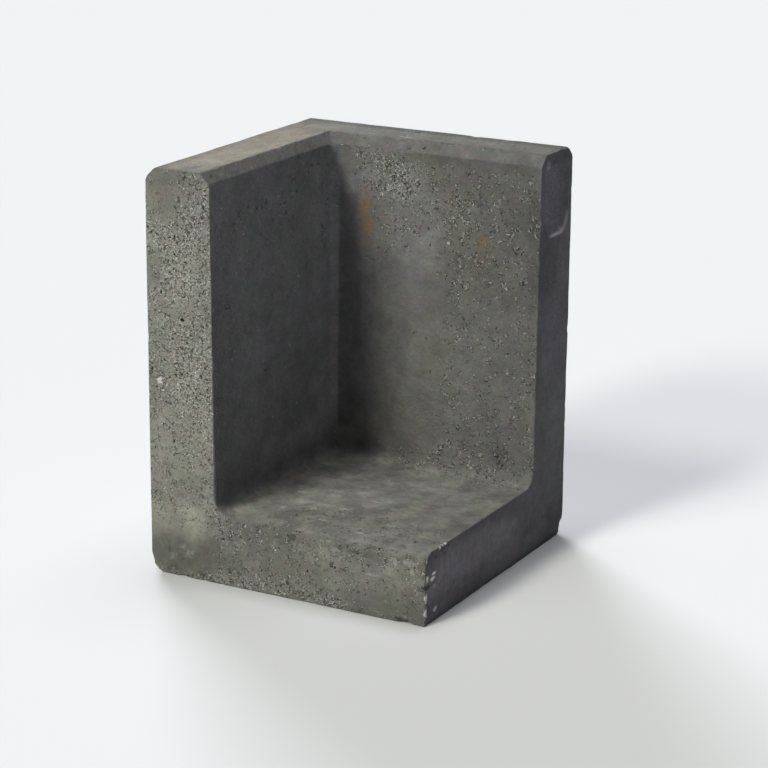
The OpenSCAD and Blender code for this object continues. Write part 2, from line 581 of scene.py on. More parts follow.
    def relief(self, points: Array) -> Relief:
        """Draw the unevenness of the surface and the wear of its edges.

        Args:
            points: positions, one row each.

        Returns:
            The relief at those points.
        """
        chunks = self.chip_noise.at(points, cell=0.011) - 0.42
        flakes = self.chip_noise.layered(points + 3.0, cell=0.0045, layers=2) - 0.10
        crumbs = self.chip_noise.at(points + 7.0, cell=0.0032) - 0.1
        wander = self.noise.at(points, cell=0.03)
        swell = self.noise.at(points, cell=0.045)
        ripple = self.noise.at(points, cell=0.012)
        torn = self.chip_noise.layered(points + 11.0, cell=0.006, layers=3)
        return Relief(
            wear=0.0046 * chunks + 0.0024 * flakes + 0.0010 * crumbs,
            leg=self.chamfer + 0.0003 + 0.0005 * wander,
            rise=0.00035 * swell + 0.00018 * ripple,
            ragged=0.0016 * torn,
        )

    def recess(self, points: Array) -> Array:
        """Signed distances to the space of the recess in the back wall's end.

        Args:
            points: positions, one row each.

        Returns:
            One distance for each point, negative inside the recess.
        """
        corner = self.recess_corner
        width, height = self.wall - 2.0 * self.recess_margin, self.recess_height
        middle_y = self.high.y - self.wall / 2.0
        middle_z = self.high.z - self.recess_below_top - height / 2.0
        across = np.abs(points[:, 1] - middle_y) - width / 2.0 + corner
        along = np.abs(points[:, 2] - middle_z) - height / 2.0 + corner
        outside = np.hypot(np.maximum(across, 0.0), np.maximum(along, 0.0))
        rim = outside + np.minimum(np.maximum(across, along), 0.0) - corner
        depth = self.high.x - points[:, 0]
        square_to_slope = 0.78
        slope = (rim + depth * self.recess_slope / self.recess_depth) * square_to_slope
        return round_cut(slope, depth - self.recess_depth, self.recess_bottom_radius)

    def recess_painted_light(self, points: Array) -> Array:
        """Change of tone in the recess: a painted highlight on its lower lip, painted shade on its near side
        and top, and a slightly paler floor.

        Args:
            points: positions, one row each.

        Returns:
            One value for each point, to add to the tone.
        """
        slack, lip_back = 0.004, 0.022
        lip_highlight, floor_pale, shade_strength = 2.9, 0.1, 0.24
        depth = self.high.x - points[:, 0]
        from_far = points[:, 1] - self.high.y + self.recess_margin
        from_near = from_far + self.wall - 2.0 * self.recess_margin
        up = points[:, 2] - self.high.z + self.recess_below_top + self.recess_height

        below_mouth = smooth_step(0.0001, 0.0008, depth)
        above_bottom = smooth_step(0.0080, 0.0060, depth)
        inside = below_mouth * above_bottom
        inside *= (from_far < slack) * (from_near > -slack) * (up > -slack)
        sloping = inside * smooth_step(0.75, 0.35, depth / self.recess_depth)
        bright_core = smooth_step(1.2, 0.4, np.hypot((from_far + lip_back) / 0.020, up / 0.012))
        faint = smooth_step(1.25, 0.5, np.hypot(from_far / 0.040, up / 0.019))
        near_top = smooth_step(0.012, 0.002, self.recess_height - up)
        painted_shade = np.maximum(smooth_step(0.014, 0.003, from_near), near_top)
        # Painted highlight along the lower lip's slope; painted shade towards the recess's near side and its
        # top.
        lip = lip_highlight * sloping * np.maximum(bright_core, 0.5 * faint)
        return lip + inside * (floor_pale - shade_strength * painted_shade)

    def distance(self, points: Array, relief: Relief) -> Array:
        """Signed distances to the surface of the casting.

        Args:
            points: positions, one row each.
            relief: unevenness and wear at those points.

        Returns:
            One distance for each point, negative inside the concrete.
        """
        x, y, z = points.T
        left, right = self.low.x - x, x - self.high.x
        front, back = self.low.y - y, y - self.high.y
        under, top = self.low.z - z, z - self.high.z
        spread = self.wall + (self.high.z - z) * self.lean
        wall_left = x - self.low.x - spread
        wall_back = self.high.y - spread - y
        foot = z - self.low.z - self.foot
        corner = self.corner_fillet + (z - self.low.z - self.foot) * self.lean
        inner = round_join(round_join(wall_left, wall_back, corner), foot, self.foot_fillet)
        leg, diagonal, edge = relief.leg, math.sqrt(0.5), self.edge_radius
        rim = round_join(wall_left + top + leg, wall_back + top + leg, self.rim_corner_radius)
        body = round_cut(inner, rim * diagonal, self.rim_radius)
        free = smooth_step(self.trowel_start, self.trowel_full, wall_left)
        run = self.end_radius + (self.trowel_run - self.end_radius) * free
        drop = self.end_radius + (self.trowel_drop - self.end_radius) * free
        nose = (np.hypot(1.0 + front / run, 1.0 + body / drop) - 1.0) * drop
        near = (front > -run) & (body > -drop)
        body = np.maximum(np.maximum(body, front), np.where(near, nose, body))
        shell = np.maximum(round_cut(left, top, self.top_corner_radius), (left + top + leg) * diagonal)
        for chamfer in (back + top, left + under, back + under):
            shell = round_cut(shell, (chamfer + leg) * diagonal, edge)
        for plane in (back, right, under, front, top):
            chipped = (shell + plane + relief.wear) * diagonal
            shell = np.maximum(round_cut(shell, plane, edge), chipped)
        chipped = (body + shell + relief.wear) * diagonal
        whole = np.maximum(round_cut(body, shell, edge), chipped)
        whole = round_cut(whole, -self.recess(points), self.recess_mouth_radius)
        for chip in self.chips:
            whole = np.maximum(whole, relief.ragged - chip.distance(points))
        return whole - relief.rise

    def crowd(self, points: Array) -> Array:
        """Move the cage's points roughly to the chamfers and fillets, so that none pile up.

        Args:
            points: positions on the plain boxes, one row each.

        Returns:
            The moved positions.
        """
        def fade(depth: Array, reach: float) -> Array:
            """Weight that falls from 1 at an edge to 0 at its reach."""
            return np.clip(1.0 - np.abs(depth) / reach, 0.0, 1.0)

        moved = points.copy()
        x, y, z = points.T
        half, reach = self.chamfer / 2.0, self.edge_reach
        left, right = x - self.low.x, self.high.x - x
        front, back = y - self.low.y, self.high.y - y
        under, top = z - self.low.z, self.high.z - z
        foot = z - self.low.z - self.foot
        for one, axis, way in ((left, 0, 1.0), (back, 1, -1.0)):
            for other, rise in ((top, -1.0), (under, 1.0)):
                push = half * fade(one, reach) * fade(other, reach)
                moved[:, axis] += way * push
                moved[:, 2] += rise * push
        wall_left, wall_back = x - self.inner_x, self.inner_y - y
        deep = np.minimum(wall_left, wall_back)
        push = half * fade(deep, reach) * fade(top, reach) * (deep < TINY)
        beside_left = fade(np.maximum(wall_left, 0.0), reach)
        beside_back = fade(np.maximum(wall_back, 0.0), reach)
        moved[:, 0] -= push * beside_left
        moved[:, 1] += push * beside_back
        moved[:, 2] -= push
        bulge, radius = 1.0 - math.sqrt(0.5), self.foot_fillet
        for one, beside, axis, way in ((wall_left, wall_back, 0, 1.0), (wall_back, wall_left, 1, -1.0)):
            push = bulge * radius * fade(one, radius) * fade(foot, radius) * (beside > -TINY)
            moved[:, axis] += way * push
            moved[:, 2] += push
        radius = self.corner_fillet
        push = bulge * radius * fade(wall_left, radius) * fade(wall_back, radius) * (foot > -TINY)
        moved[:, 0] += push
        moved[:, 1] -= push
        free = smooth_step(self.trowel_start, self.trowel_full, wall_left)
        push = bulge * fade(front, self.trowel_run) * fade(foot, self.edge_reach) * free
        moved[:, 1] += push * self.trowel_run
        moved[:, 2] -= push * self.trowel_drop
        return moved

    def settle(self, points: Array, relief: Relief, rounds: int = 7) -> Array:
        """Move points along the shortest way onto the surface.

        Args:
            points: positions, one row each.
            relief: unevenness and wear at those points.
            rounds: number of steps.

        Returns:
            The moved points.
        """
        small, flattest = 0.0002, 0.2
        for _ in range(rounds):
            here = self.distance(points, relief)
            slope = np.empty_like(points)
            for axis in range(3):
                step = np.zeros(3)
                step[axis] = small
                ahead = self.distance(points + step, relief)
                slope[:, axis] = ahead - self.distance(points - step, relief)
            slope /= 2.0 * small
            length = np.maximum((slope**2).sum(axis=1), flattest)
            points = points - slope * (here / length)[:, None]
        return points

    def shares(self, points: Array, faces: Array, sides: Array) -> dict[Side, Array]:
        """Share of each side in the finish of each point, softened along the fillets.

        Args:
            points: positions, one row each.
            faces: the faces between them.
            sides: the side of each face.

        Returns:
            For each side, one share for each point.
        """
        count = np.bincount(faces.ravel(), minlength=len(points))
        shares = {}
        for side in Side:
            weights = np.repeat((sides == side.value).astype(float), 4)
            shares[side] = np.bincount(faces.ravel(), weights, minlength=len(points)) / count
        spread = self.wall + (self.high.z - points[:, 2]) * self.lean
        from_left = points[:, 0] - self.low.x - spread
        from_back = self.high.y - spread - points[:, 1]
        from_front = points[:, 1] - self.low.y
        lift = points[:, 2] - self.low.z - self.foot
        drift = 0.006 * self.noise.layered(points + 5.0, 0.018, 3)

        edge = smooth_step(-0.006, 0.006, from_front + 2.0 * lift + drift)
        free = (from_left > 0.004) & (from_front < 0.030) & (lift > -0.014) & (lift < 0.004)
        front = (shares[Side.FOOT_TOP] + shares[Side.FRONT_END]) * free
        shares[Side.FOOT_TOP] = np.where(free, front * edge, shares[Side.FOOT_TOP])
        shares[Side.FRONT_END] = np.where(free, front * (1.0 - edge), shares[Side.FRONT_END])

        inner = shares[Side.LEFT_INNER] + shares[Side.BACK_INNER] + shares[Side.FOOT_TOP]
        flat = smooth_step(0.009, -0.009, lift - np.minimum(from_left, from_back) + drift)
        turn = 0.7 * (self.corner_fillet + lift * self.lean)
        left = smooth_step(turn + 0.001, turn - 0.001, from_left - from_back)
        shares[Side.FOOT_TOP] = inner * flat
        shares[Side.LEFT_INNER] = inner * (1.0 - flat) * left
        shares[Side.BACK_INNER] = inner * (1.0 - flat) * (1.0 - left)

        level = points[:, 2] - self.high.z + self.chamfer
        rim = np.minimum(from_left, from_back) + level
        half = self.chamfer / 2.0
        slant = smooth_step(0.0012, 0.0005, np.abs(rim)) * (np.abs(level - half) < half)
        for side in Side:
            shares[side] *= 1.0 - slant
        shares[Side.INNER_CHAMFER] = slant
        return shares

    def paint(self, mesh: bpy.types.Mesh, points: Array, faces: Array, sides: Array, relief: Relief) -> None:
        """Store the masks that the concrete's finish reads.

        Args:
            mesh: the mesh to store them on.
            points: its points.
            faces: its faces.
            sides: the side of each face.
            relief: unevenness and wear at the points.
        """
        shares = self.shares(points, faces, sides)
        masks = {name: np.zeros(len(points)) for name in MASKS}
        for side, finish in FINISHES.items():
            for name, values in masks.items():
                values += shares[side] * getattr(finish, name)
        uneven = 0.35 * self.noise.layered(points, 0.022, 3)
        for side, patch in ((side, patch) for side, row in self.patches.items() for patch in row):
            centre = np.array(self.place_on(side, patch.at))
            reach = np.array(self.on_side(side, patch.reach, self.patch_depth))
            away = (np.abs((points - centre) / reach) ** 3).sum(axis=1) ** (1 / 3)
            weight = shares[side] * smooth_step(1.25, 0.55, away + uneven)
            for name in MASKS:
                masks[name] += weight * getattr(patch, name)
        unworn = replace(relief, wear=np.full(len(points), -1.0), ragged=np.full(len(points), -1.0))
        masks["worn"] = smooth_step(0.0003, 0.0014, -self.distance(points, unworn))
        # Painted highlight and painted shade in the recess of the back wall's end.
        masks["tone"] += self.recess_painted_light(points)
        for name, values in masks.items():
            layer = mesh.attributes.new(name, "FLOAT", "POINT")
            layer.data.foreach_set("value", values.astype(np.float32))

    def build(self) -> bpy.types.Object:
        """Make the casting's mesh.

        Returns:
            The new object, standing for the CAD node.
        """
        points, faces, sides = self.cage()
        relief = self.relief(points)
        points = self.settle(self.crowd(points), relief)
        points = np.clip(points, np.array(self.low), np.array(self.high))
        mesh = bpy.data.meshes.new("concrete_corner_element")
        mesh.from_pydata(points.tolist(), [], faces.tolist())
        mesh.update()
        mesh.shade_smooth()
        self.paint(mesh, points, faces, sides, relief)
        casting = bpy.data.objects.new("concrete_corner_element", mesh)
        bpy.context.scene.collection.objects.link(casting)
        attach(casting, "root")
        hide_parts(CAD_NODE)
        log.info("casting: %d points, %d faces", len(points), len(faces))
        return casting


class Bench:
    """A node tree that is being wired."""

    def __init__(self, tree: bpy.types.NodeTree) -> None:
        """Start on an existing tree.

        Args:
            tree: the tree to add nodes to.
        """
        self.tree = tree

    def node(self, kind: str, plugs: dict[str | int, object], **settings: object) -> bpy.types.Node:
        """Add a node.

        Args:
            kind: the node's type.
            plugs: for each input, a socket to join or a plain value to set.
            settings: the node's own options.

        Returns:
            The new node.
        """
        node = self.tree.nodes.new(kind)
        for name, value in settings.items():
            setattr(node, name, value)
        for name, value in plugs.items():
            if isinstance(value, bpy.types.NodeSocket):
                self.tree.links.new(value, node.inputs[name])
            else:
                node.inputs[name].default_value = value
        return node

    def maths(self, operation: str, *values: Plug) -> Socket:
        """Work out one number from others, each a socket or a plain value."""
        return self.node("ShaderNodeMath", dict(enumerate(values)), operation=operation).outputs[0]

    def fold(self, operation: str, values: Iterable[Plug]) -> Socket:
        """Join several numbers by one operation, from the first to the last."""
        return reduce(lambda one, other: self.maths(operation, one, other), values)

    def times(self, *factors: Plug) -> Socket:
        """Multiply numbers."""
        return self.fold("MULTIPLY", factors)

    def line(self, value: Plug, slope: Plug, start: Plug) -> Socket:
        """Multiply a number by a slope and add a start."""
        return self.maths("MULTIPLY_ADD", value, slope, start)

    def swing(self, share: Plug, amount: float, about: float = 1.0) -> Socket:
        """Turn a share from 0 to 1 into a number that swings to both sides of another."""
        return self.line(share, 2.0 * amount, about - amount)

    def vector(self, operation: str, *values: Plug) -> Socket:
        """Work out one vector from others, each a socket or a plain value."""
        plugs = dict(enumerate(values))
        return self.node("ShaderNodeVectorMath", plugs, operation=operation).outputs[0]

    def scaled(self, vector: Plug, factor: Plug) -> Socket:
        """Multiply a vector by a number."""
        plugs = {"Vector": vector, "Scale": factor}
        return self.node("ShaderNodeVectorMath", plugs, operation="SCALE").outputs[0]

    def fade(self, value: Plug, low: Plug, high: Plug, start: Plug = 0.0, end: Plug = 1.0) -> Socket:
        """Take a value from one range to another with soft ends.

        Args:
            value: value to change.
            low: value that gives start.
            high: value that gives end.
            start: result at low.
            end: result at high.

        Returns:
            The result.
        """
        plugs = {0: value, 1: low, 2: high, 3: start, 4: end}
        return self.node("ShaderNodeMapRange", plugs, interpolation_type="SMOOTHSTEP").outputs[0]

    def blend(self, share: Plug, one: Plug, other: Plug, way: str = "MIX") -> Socket:
        """Blend two colours.

        Args:
            share: how much of the other colour is taken.
            one: first colour, a socket or three values.
            other: second colour, likewise.
            way: how the colours are combined.

        Returns:
            The blended colour.
        """
        first, second = ((*value, 1.0) if isinstance(value, tuple) else value for value in (one, other))
        plugs = {0: share, 6: first, 7: second}
        return self.node("ShaderNodeMix", plugs, data_type="RGBA", blend_type=way).outputs[2]

    def mask(self, name: str) -> Socket:
        """Read a value that is stored on the mesh."""
        return self.node("ShaderNodeAttribute", {}, attribute_name=name).outputs["Fac"]


class Effect:
    """A shader node group that is built once and placed wherever it is needed."""

    name: str
    takes: dict[str, float | None]
    gives: tuple[str, ...]

    def wire(self, bench: Bench, given: dict[str, Socket]) -> dict[str, Socket]:
        """Wire the inside of the group.

        Args:
            bench: the group's tree.
            given: the group's inputs.

        Returns:
            The socket for each output.
        """
        raise NotImplementedError

    def place(self, bench: Bench, **plugs: Plug) -> bpy.types.Node:
        """Put the group into a tree.

        Args:
            bench: the tree to put it in.
            plugs: a socket or a value for each input.

        Returns:
            The group's node.
        """
        tree = bpy.data.node_groups.get(self.name) or self.build()
        node = bench.node("ShaderNodeGroup", {}, node_tree=tree)
        for name, value in plugs.items():
            if isinstance(value, bpy.types.NodeSocket):
                bench.tree.links.new(value, node.inputs[name])
            else:
                node.inputs[name].default_value = value
        return node

    def build(self) -> bpy.types.NodeTree:
        """Build the group.

        Returns:
            The new group.
        """
        tree = bpy.data.node_groups.new(self.name, "ShaderNodeTree")
        for name, value in self.takes.items():
            kind = "NodeSocketVector" if value is None else "NodeSocketFloat"
            socket = tree.interface.new_socket(name, in_out="INPUT", socket_type=kind)
            if value is not None:
                socket.default_value = value
        for name in self.gives:
            tree.interface.new_socket(name, in_out="OUTPUT", socket_type="NodeSocketFloat")
        bench = Bench(tree)
        given = tree.nodes.new("NodeGroupInput")
        results = self.wire(bench, {name: given.outputs[name] for name in self.takes})
        bench.node("NodeGroupOutput", results)
        return tree


class Mottle(Effect):
    """Cloudy blotches, faded between two levels of noise."""

    name = "mottle"
    takes = {"Vector": None, "Size": 0.02, "Roughness": 0.55, "Low": 0.4, "High": 0.6}
    gives = ("Value",)

    def wire(self, bench: Bench, given: dict[str, Socket]) -> dict[str, Socket]:
        """Wire a noise of the given size and fade it."""
        plugs = {
            "Vector": given["Vector"],
            "Scale": bench.maths("DIVIDE", 1.0, given["Size"]),
            "Detail": 4.0,
            "Roughness": given["Roughness"],
        }
        noise = bench.node("ShaderNodeTexNoise", plugs).outputs[0]
        return {"Value": bench.fade(noise, given["Low"], given["High"])}


class Grains(Effect):
    """Sand grains, some pale and proud of the cement, some fallen out and dark."""

    name = "grains"
    takes = {"Vector": None, "Size": 0.0015, "Share": 0.2, "Gaps": 0.1, "Fill": 0.5}
    gives = ("Pale", "Dark", "Height")

    def wire(self, bench: Bench, given: dict[str, Socket]) -> dict[str, Socket]:
        """Wire cells of the grains' size and let a share of them show."""
        place, size, fill = given["Vector"], given["Size"], given["Fill"]
        plugs = {"Vector": place, "Scale": bench.maths("DIVIDE", 0.9, size), "Detail": 1.0}
        wobble = bench.node("ShaderNodeTexNoise", plugs).outputs[1]
        centred = bench.vector("SUBTRACT", wobble, (0.5, 0.5, 0.5))
        moved = bench.vector("ADD", place, bench.scaled(centred, bench.times(size, 2.2)))
        plugs = {"Vector": moved, "Scale": bench.maths("DIVIDE", 1.0, size)}
        cells = bench.node("ShaderNodeTexVoronoi", plugs)
        draw = bench.node("ShaderNodeSeparateColor", {0: cells.outputs["Color"]})
        body = bench.fade(cells.outputs["Distance"], fill, bench.times(fill, 0.3))
        strength = bench.times(body, bench.fade(draw.outputs[1], 0.1, 0.9, 0.58, 1.0))
        least = bench.maths("SUBTRACT", 1.0, given["Share"])
        pale = bench.times(strength, bench.maths("GREATER_THAN", draw.outputs[0], least))
        dark = bench.times(strength, bench.maths("LESS_THAN", draw.outputs[0], given["Gaps"]))
        return {"Pale": pale, "Dark": dark, "Height": bench.maths("SUBTRACT", pale, dark)}


class Spot(Effect):
    """One soft spot of uneven outline at a given place."""

    name = "spot"
    takes = {"Vector": None, "Place": None, "Reach": None, "Ragged": 0.5, "Full": 0.25}
    gives = ("Value",)

    def wire(self, bench: Bench, given: dict[str, Socket]) -> dict[str, Socket]:
        """Wire the distance from the place, in reaches, with a ragged edge."""
        away = bench.vector("SUBTRACT", given["Vector"], given["Place"])
        reaches = bench.vector("DIVIDE", away, given["Reach"])
        length = bench.node("ShaderNodeVectorMath", {0: reaches}, operation="LENGTH").outputs["Value"]
        plugs = {"Vector": given["Vector"], "Scale": 260.0, "Detail": 3.0, "Roughness": 0.7}
        noise = bench.node("ShaderNodeTexNoise", plugs).outputs[0]
        uneven = bench.times(bench.maths("SUBTRACT", noise, 0.5), given["Ragged"])
        total = bench.maths("ADD", length, bench.times(uneven, 3.0))
        return {"Value": bench.fade(total, 1.0, given["Full"])}


@dataclass(frozen=True)
class Stain:
    """A stain on one side, at full strength within a share of its reach.

    at and reach are measured along the side, as for a patch. deep is its reach square to
    the side, and sunk how far below the side its middle lies.
    """

    at: tuple[float, float]
    reach: tuple[float, float]
    colour: tuple[float, float, float]
    strength: float
    ragged: float = 0.6
    full: float = 0.25
    deep: float = 0.020
    sunk: float = 0.0


RUST, OCHRE, ROSE = (0.30, 0.155, 0.060), (0.22, 0.165, 0.095), (0.25, 0.18, 0.15)
LIME, BRUISE, SCRAPE = (0.50, 0.50, 0.47), (0.78, 0.78, 0.76), (0.34, 0.34, 0.37)
# The dark soot colour also serves as painted shade in notches and breaks, and the void colour is painted
# shade in pits.
SOOT_AND_SHADE, PIT_SHADE = (0.05, 0.05, 0.05), (0.012, 0.012, 0.012)
STAINS: dict[Side, tuple[Stain, ...]] = {
    Side.BACK_INNER: (
        # Rust on the back wall, the strongest mark with a run below it, and two pale stones.
        Stain((-0.0425, 0.331), (0.0055, 0.014), RUST, 0.66, 1.0),
        Stain((-0.0385, 0.308), (0.0070, 0.014), RUST, 0.62, 1.0),
        Stain((-0.0430, 0.318), (0.0120, 0.040), OCHRE, 0.45),
        Stain((0.0890, 0.309), (0.0075, 0.010), RUST, 0.38),
        Stain((0.0870, 0.303), (0.0110, 0.016), OCHRE, 0.35),
        Stain((0.0530, 0.349), (0.0070, 0.012), ROSE, 0.40),
        Stain((0.0510, 0.304), (0.0020, 0.0018), BRUISE, 0.60, 0.8, 0.5),
        Stain((0.0070, 0.352), (0.0020, 0.0018), BRUISE, 0.65, 0.6, 0.6),
    ),
    Side.FRONT_END: (
        # Pale and rosy marks on the front.
        Stain((-0.1370, 0.194), (0.0036, 0.0050), BRUISE, 1.0, 0.6, 0.5),
        Stain((-0.1360, 0.372), (0.0140, 0.0160), ROSE, 0.30, 1.0),
        Stain((0.1330, 0.060), (0.0085, 0.0035), LIME, 0.45, 1.0),
        Stain((0.1360, 0.052), (0.0030, 0.0090), LIME, 0.45, 1.0),
        Stain((-0.0720, 0.0075), (0.0090, 0.0030), LIME, 0.35, 1.2),
        # Marks that the trowel left along the front.
        Stain((0.1184, 0.0580), (0.0026, 0.0060), LIME, 0.41, 0.5, 0.5),
        Stain((0.0944, 0.0412), (0.0095, 0.0016), LIME, 0.41, 0.5, 0.5),
        Stain((0.0762, 0.0605), (0.0090, 0.0014), SOOT_AND_SHADE, 0.57, 0.5, 0.5),
        Stain((0.0931, 0.0670), (0.0070, 0.0012), SOOT_AND_SHADE, 0.47, 0.5, 0.5),
        Stain((0.0592, 0.0630), (0.0045, 0.0026), SOOT_AND_SHADE, 0.60, 0.8, 0.5),
        Stain((0.0073, 0.0610), (0.0070, 0.0040), SOOT_AND_SHADE, 0.54, 0.8, 0.5),
        # Painted shade in two pits on the front and in the notches along the bottom edge, and a dark mark in
        # the heel.
        Stain((-0.1110, 0.2573), (0.0026, 0.0018), PIT_SHADE, 1.0, 0.5, 0.6),
        Stain((-0.1184, 0.3354), (0.0016, 0.0032), PIT_SHADE, 0.8, 0.6, 0.6),
        Stain((-0.1287, 0.0260), (0.0012, 0.0040), SOOT_AND_SHADE, 0.60, 0.6, 0.6),
        Stain((-0.1240, 0.0090), (0.0080, 0.0030), SOOT_AND_SHADE, 0.45, 1.8, 0.6),
        Stain((-0.0930, 0.0066), (0.0060, 0.0028), SOOT_AND_SHADE, 0.60, 1.6, 0.6),
        Stain((0.1240, 0.0030), (0.0100, 0.0022), SOOT_AND_SHADE, 0.80, 0.9, 0.6),
    ),
    Side.FOOT_TOP: (
        # Laitance that the trowel dragged over the foot.
        Stain((0.0210, -0.0751), (0.0085, 0.0018), LIME, 0.57, 0.5, 0.5),
        Stain((-0.0320, -0.1000), (0.0028, 0.0080), LIME, 0.49, 0.8, 0.5),
        Stain((0.0680, -0.1260), (0.0070, 0.0022), LIME, 0.54, 0.5, 0.5, deep=0.010),
        Stain((-0.0376, -0.0513), (0.0060, 0.0034), LIME, 0.49, 0.8, 0.5),
        Stain((0.0200, -0.1118), (0.0075, 0.0019), LIME, 0.49, 0.5, 0.5),
        Stain((0.0377, -0.0419), (0.0085, 0.0018), LIME, 0.41, 0.5, 0.5),
    ),
    Side.RIGHT_END: (
        # Painted shade in a notch, and fresh breaks, beside the foot's front corner.
        Stain((-0.1450, 0.0378), (0.0105, 0.0024), SOOT_AND_SHADE, 0.85, 0.9, 0.6, deep=0.0085),
        Stain((-0.1325, 0.0480), (0.0056, 0.0017), BRUISE, 1.0, 0.5, 0.6),
        Stain((-0.1350, 0.0435), (0.0056, 0.0024), BRUISE, 1.0, 0.7, 0.6),
        Stain((-0.1305, 0.0352), (0.0046, 0.0024), LIME, 0.50, 0.8, 0.5),
        Stain((-0.1300, 0.0115), (0.0042, 0.0032), BRUISE, 0.65, 0.6, 0.6),
        Stain((-0.1462, 0.0455), (0.0030, 0.0044), BRUISE, 0.95, 0.8, 0.6, deep=0.0016),
        Stain((-0.1475, 0.0285), (0.0026, 0.0060), BRUISE, 0.90, 1.2, 0.6, deep=0.0016),
        Stain((-0.1480, 0.0130), (0.0026, 0.0056), BRUISE, 0.85, 1.2, 0.6, deep=0.0016),
        # Broken edge with painted shade in its breaks, scrapes and a dark spot down the foot's side.
        Stain((-0.1170, 0.0660), (0.0034, 0.0024), SOOT_AND_SHADE, 0.75, 0.8, 0.6, deep=0.0035),
        Stain((-0.1035, 0.0660), (0.0030, 0.0022), SOOT_AND_SHADE, 0.65, 0.8, 0.6, deep=0.0035),
        Stain((-0.1290, 0.0630), (0.0045, 0.0022), SOOT_AND_SHADE, 0.55, 0.8, 0.6, deep=0.0035),
        Stain((-0.1210, 0.0690), (0.0024, 0.0016), BRUISE, 0.85, 0.5, 0.6, deep=0.0035),
        Stain((-0.1150, 0.0695), (0.0020, 0.0016), BRUISE, 0.70, 0.5, 0.6, deep=0.0035),
        Stain((-0.1095, 0.0695), (0.0028, 0.0018), BRUISE, 0.95, 0.5, 0.6, deep=0.0035),
        Stain((-0.1180, 0.0480), (0.0016, 0.0170), SCRAPE, 0.26, 0.4),
        Stain((-0.1060, 0.0500), (0.0013, 0.0150), SCRAPE, 0.22, 0.4),
        Stain((-0.0950, 0.0440), (0.0015, 0.0200), SCRAPE, 0.16, 0.4),
        Stain((-0.1230, 0.0560), (0.0014, 0.0110), SOOT_AND_SHADE, 0.45, 0.4),
        Stain((-0.1125, 0.0560), (0.0012, 0.0120), SOOT_AND_SHADE, 0.35, 0.4),
        Stain((-0.1000, 0.0500), (0.0013, 0.0140), SOOT_AND_SHADE, 0.25, 0.4),
        Stain((-0.0916, 0.0255), (0.0018, 0.0036), SOOT_AND_SHADE, 0.60, 0.6, 0.5),
        # Small dark spots down the wall's end, and a scrape inside the recess.
        Stain((0.1148, 0.2857), (0.0022, 0.0022), SOOT_AND_SHADE, 0.40, 0.3, 0.6),
        Stain((0.1137, 0.2669), (0.0020, 0.0020), SOOT_AND_SHADE, 0.35, 0.3, 0.6),
        Stain((0.1229, 0.1604), (0.0024, 0.0020), SOOT_AND_SHADE, 0.40, 0.3, 0.6),
        Stain((0.1314, 0.1007), (0.0020, 0.0022), SOOT_AND_SHADE, 0.35, 0.3, 0.6),
        Stain((0.1050, 0.3860), (0.0070, 0.0066), SCRAPE, 0.50, 0.3, sunk=0.003),
    ),
}


class Surface(Bench):
    """The concrete's own tree, with the values that several of its layers use."""

    def __init__(self, tree: bpy.types.NodeTree) -> None:
        """Read the masks and lay the broad blotches.

        Args:
            tree: the material's tree.
        """
        super().__init__(tree)
        self.place = self.node("ShaderNodeTexCoord", {}).outputs["Object"]
        self.masks = {name: self.mask(name) for name in (*MASKS, "worn")}
        self.tint = self.cloud(0.045, 0.36, 0.64)
        self.calm = self.line(self.masks["trowel"], -0.6, 1.0)
        haze = self.maths("SUBTRACT", self.cloud(0.022, 0.38, 0.64, 0.45), 0.45)
        flecks = self.times(self.maths("SUBTRACT", self.cloud(0.0060, 0.42, 0.68, 0.5), 0.30), 0.6)
        self.dragged = self.times(self.maths("ADD", haze, flecks), self.masks["trowel"])

    def cloud(
        self, size: float, low: Plug, high: Plug, rough: float = 0.55, vector: Socket | None = None
    ) -> Socket:
        """Place one layer of blotches.

        Args:
            size: size of the largest blotches.
            low: level of the noise that gives 0.
            high: level that gives 1.
            rough: how strong the finer blotches are.
            vector: where the noise is read, or None for the place on the object.

        Returns:
            The share, from 0 to 1.
        """
        where = self.place if vector is None else vector
        plugs = {"Vector": where, "Size": size, "Roughness": rough, "Low": low, "High": high}
        return Mottle().place(self, **plugs).outputs[0]


@dataclass(frozen=True)
class Grade:
    """One size of sand or of air hole: the shares that show pale or as holes darkened with painted shade,
    and how full they are.
    """

    size: float
    share: float
    gaps: float
    fill: float

    def lay(self, surface: Surface) -> bpy.types.Node:
        """Lay the grade over the whole surface."""
        plugs = {"Size": self.size, "Share": self.share, "Gaps": self.gaps, "Fill": self.fill}
        return Grains().place(surface, Vector=surface.place, **plugs)


SAND = (
    Grade(size=0.0012, share=0.30, gaps=0.26, fill=0.98),
    Grade(size=0.0020, share=0.12, gaps=0.11, fill=0.82),
    Grade(size=0.0044, share=0.06, gaps=0.03, fill=0.50),
)
BLOWHOLES = Grade(size=0.011, share=0.0, gaps=0.05, fill=0.16)
POCKS = Grade(size=0.0036, share=0.0, gaps=0.16, fill=0.85)


